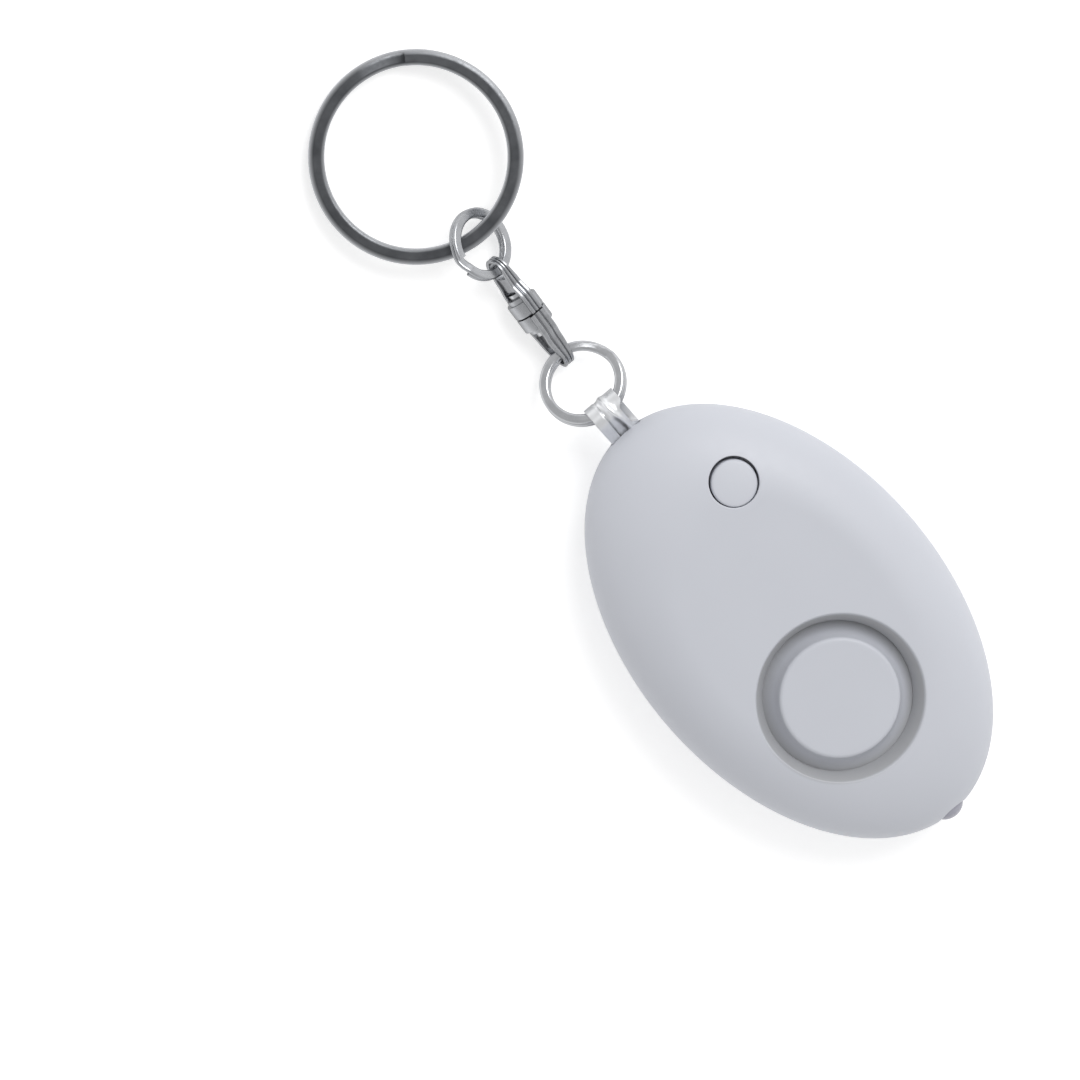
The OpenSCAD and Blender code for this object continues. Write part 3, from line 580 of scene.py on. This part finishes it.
def ring_steel():
    """Flat rolled steel: dark faces, a painted highlight on the broken edges from the wire's own attribute, fine
    scuffs.
    """
    f = Finish("ring_steel", Metallic=1.0)
    edge = f.add("ShaderNodeAttribute", attribute_name="edge").outputs["Fac"]
    scuff = f.noise(1900, 4)
    face = f.mix(f.span(f.noise(380, 4), 0, 1), (0.085, 0.089, 0.096), (0.13, 0.135, 0.144))
    # Painted highlight: the edge attribute lifts the broken edges to a pale colour.
    return f.feed(Base_Color=f.mix(edge, face, (0.46, 0.47, 0.49)),
                  Roughness=f.span(scuff, 0.36, 0.52), Normal=f.bump(scuff, 0.00001, 0.3))


def lamp_resin():
    """Clear moulded resin over a pale die: faint cloud, smooth skin."""
    f = Finish("lamp_resin", IOR=1.53, Transmission_Weight=0.35)
    skin = f.noise(1200, 2)
    return f.feed(Base_Color=f.mix(f.span(f.noise(500, 2), 0, 1), (0.42, 0.42, 0.5), (0.56, 0.56, 0.64)),
                  Roughness=f.span(skin, 0.12, 0.22), Normal=f.bump(skin, 0.000004, 0.2))


def plain(name, pale, deep, rough, metal=0.0, grain=2000):
    """A part inside the case: two tones in a grain, with roughness and bump from it."""
    f = Finish(name, Metallic=metal)
    g = f.noise(grain, 3)
    return f.feed(Base_Color=f.mix(f.span(g, 0, 1), deep, pale), Roughness=f.span(g, rough - 0.06, rough + 0.08),
                  Normal=f.bump(g, 0.00001, 0.4))


def winding():
    """Enamelled wire in close turns: bands across the coil's height."""
    f = Finish("winding", Metallic=1.0)
    wave = f.add("ShaderNodeTexWave", [("Vector", f.place)], bands_direction="Z", Scale=800).outputs["Fac"]
    return f.feed(Base_Color=f.mix(wave, (0.22, 0.07, 0.03), (0.62, 0.28, 0.12)),
                  Roughness=f.span(wave, 0.3, 0.45, 0, 1), Normal=f.bump(wave, 0.00008, 0.8))


# Pieces
# The case's third colour is painted shade for the sounder groove.
CASE = satin_plastic("case_plastic", (0.588, 0.604, 0.655), (0.57, 0.586, 0.636), (0.41, 0.416, 0.432))
# The third colour of each plate is its painted shade where it turns from the view.
BRIGHT = plated("bright_plate", (0.62, 0.63, 0.65), (0.52, 0.53, 0.55), (0.13, 0.134, 0.142), 0.19)
SATIN = plated("satin_plate", (0.5, 0.51, 0.53), (0.41, 0.42, 0.44), (0.11, 0.114, 0.122), 0.27)
PIN_PLATE = plated("pin_plate", (0.93, 0.94, 0.96), (0.82, 0.83, 0.85), (0.34, 0.345, 0.355), 0.36)
MIRRORED = np.diag([1.0, -1, 1, 1])

front_case(CASE)
rear_case(CASE)
rest_panel(CASE)
well_cap(CASE)
push_button(CASE)
end_lamp(lamp_resin())
pin_strip(PIN_PLATE)
coil_ring("small_split_ring", "pin_ring", BRIGHT, AT_PIN_RING, PIN_RING_R - 0.2,
          soft_box(1.34, 0.96, 0.4), depth=2.0, start=75, climb=70, splay=0.02)
swivel_end("swivel_pin_end", "swivel_lower", SATIN, AT_SWIVEL @ turn("Y", 18), 2.3)
swivel_end("swivel_ring_end", "swivel_upper", SATIN, AT_UPPER_EYE @ MIRRORED, 1.75)
coil_ring("link_coil", "link_ring", SATIN, AT_LINK_RING, LINK_RING_R,
          soft_box(1.32, 0.66, 0.32, 7), depth=1.2, start=200)
FLAT_WIRE, EDGE_HIGHLIGHT = key_wire()
coil_ring("key_coil", "key_ring", ring_steel(), AT_KEY_RING, KEY_RING_R,
          FLAT_WIRE, depth=2.4, start=90, edge=EDGE_HIGHLIGHT)

# Solids that stay as they are, by material slot
INSIDE = {
    "brass": plain("rolled_brass", (0.72, 0.55, 0.24), (0.6, 0.44, 0.17), 0.32, 1.0),
    "steel": plain("plain_steel", (0.6, 0.61, 0.62), (0.48, 0.49, 0.5), 0.36, 1.0),
    "tin": plain("tinned_metal", (0.66, 0.66, 0.66), (0.54, 0.54, 0.54), 0.34, 1.0),
    "chrome": BRIGHT,
    "holder": plain("holder_plastic", (0.5, 0.52, 0.55), (0.46, 0.48, 0.51), 0.5),
    "ceramic": plain("silvered_ceramic", (0.75, 0.72, 0.65), (0.68, 0.65, 0.58), 0.5),
    "board": plain("green_laminate", (0.04, 0.2, 0.09), (0.025, 0.14, 0.06), 0.35, 0.0, 900),
    "black_plastic": plain("black_moulding", (0.03, 0.03, 0.032), (0.018, 0.018, 0.02), 0.5),
    "switch_red": plain("switch_plastic", (0.4, 0.05, 0.04), (0.32, 0.035, 0.03), 0.45),
    "red_wire": plain("wire_cover", (0.5, 0.03, 0.03), (0.4, 0.02, 0.02), 0.45),
    "ferrite": plain("pressed_ferrite", (0.06, 0.06, 0.065), (0.035, 0.035, 0.04), 0.6),
    "chip_body": plain("fired_body", (0.08, 0.07, 0.06), (0.05, 0.045, 0.04), 0.55),
    "copper": winding(),
}
for part in frame["record"]["subparts"]:
    node = frame["nodes"][part["node"]]
    if part["material_slot"] in INSIDE:
        node.data.materials.clear()
        node.data.materials.append(INSIDE[part["material_slot"]])

# Stage: the view's directions, what its middle looks at, and the picture's width at the object
TOWARDS = np.array([0, 0.17365, 0.98481])
UP = np.array([0.656, 0.74323, -0.13105])
RIGHT = np.cross(UP, TOWARDS)
AIM = np.array([0, 0, HALF_T]) - 32.67 * RIGHT + 10.72 * UP
DISTANCE = 1200.0
PICTURE_W = 1080 / 7.64


def looking(origin, back, up):
    """A frame at origin whose Z axis points back from what is looked at, with Y near up."""
    z = back / np.linalg.norm(back)
    x = np.cross(up, z)
    x /= np.linalg.norm(x)
    m = np.eye(4)
    m[:3, :3] = np.stack([x, np.cross(z, x), z], 1)
    m[:3, 3] = np.asarray(origin) / MM_PER_M
    return Matrix(m)


def set_camera(scene):
    """A long lens that takes in the picture's width at the object."""
    lens = bpy.data.cameras.new("camera")
    lens.sensor_fit, lens.sensor_width = "HORIZONTAL", 36
    lens.lens = lens.sensor_width * DISTANCE / PICTURE_W
    lens.clip_end = 20
    camera = bpy.data.objects.new("camera", lens)
    scene.collection.objects.link(camera)
    camera.matrix_world = looking(AIM + TOWARDS * DISTANCE, TOWARDS, UP)
    scene.camera = camera
    scene.view_settings.view_transform = "Standard"


def floor_paper():
    """Pale matt paper, lifted to white by a glow that only the camera, metal and glass see."""
    paper = bpy.data.materials.new("paper")
    paper.use_nodes = True
    tree = paper.node_tree
    tree.nodes.remove(tree.nodes["Principled BSDF"])

    def combined(operation, first, second):
        """A maths node fed by two sources, or by a source and a number."""
        made = tree.nodes.new("ShaderNodeMath")
        made.operation = operation
        for socket, source in zip(made.inputs, (first, second)):
            if isinstance(source, float):
                socket.default_value = source
            else:
                tree.links.new(source, socket)
        return made.outputs[0]

    ray = tree.nodes.new("ShaderNodeLightPath").outputs
    mirrored = combined("MAXIMUM", ray["Is Glossy Ray"], ray["Is Transmission Ray"])
    seen = combined("MAXIMUM", ray["Is Camera Ray"], mirrored)
    matte = tree.nodes.new("ShaderNodeBsdfDiffuse")
    matte.inputs["Color"].default_value = (0.86, 0.86, 0.86, 1)
    glow = tree.nodes.new("ShaderNodeEmission")
    tree.links.new(combined("MULTIPLY", seen, 0.45), glow.inputs["Strength"])
    both = tree.nodes.new("ShaderNodeAddShader")
    for socket, shader in zip(both.inputs, (matte, glow)):
        tree.links.new(shader.outputs[0], socket)
    tree.links.new(both.outputs[0], tree.nodes["Material Output"].inputs["Surface"])
    return paper


def lay_floor(scene):
    """A square of paper just under the case."""
    half = 3
    mesh = bpy.data.meshes.new("floor")
    mesh.from_pydata([(-half, -half, 0), (half, -half, 0), (half, half, 0), (-half, half, 0)], [], [(0, 1, 2, 3)])
    floor = bpy.data.objects.new("floor", mesh)
    scene.collection.objects.link(floor)
    floor.location.z = -0.0001
    floor.data.materials.append(floor_paper())


def light_studio(scene):
    """A soft dome that is brighter at the horizon than overhead, and one round key lamp above the upper right."""
    world = bpy.data.worlds.new("studio")
    scene.world = world
    world.use_nodes = True
    air = world.node_tree
    sky = air.nodes["Background"]
    heading = air.nodes.new("ShaderNodeSeparateXYZ")
    air.links.new(air.nodes.new("ShaderNodeTexCoord").outputs["Generated"], heading.inputs[0])
    ramp = air.nodes.new("ShaderNodeValToRGB")
    air.links.new(heading.outputs["Z"], ramp.inputs[0])
    horizon, overhead = ramp.color_ramp.elements
    horizon.color, overhead.color = (1.0, 1.0, 1.0, 1), (0.5, 0.5, 0.5, 1)
    ramp.color_ramp.elements.new(0.5).color = (0.62, 0.62, 0.62, 1)
    air.links.new(ramp.outputs["Color"], sky.inputs["Color"])
    sky.inputs["Strength"].default_value = 1.05

    lamp = bpy.data.lights.new("key", "AREA")
    lamp.shape, lamp.size, lamp.energy = "DISK", 0.6, 3.75
    across, height = 600, 680
    side = UP * 0.9 + RIGHT * 0.42
    spot = np.array([AIM[0], AIM[1] * 0.4, 0]) + across * side * [1, 1, 0] + [0, 0, height]
    light = bpy.data.objects.new("key", lamp)
    scene.collection.objects.link(light)
    light.matrix_world = looking(spot, spot - [0, 5, 0], np.array([0, 0, 1.0]))


for arrange in (set_camera, lay_floor, light_studio):
    arrange(bpy.context.scene)
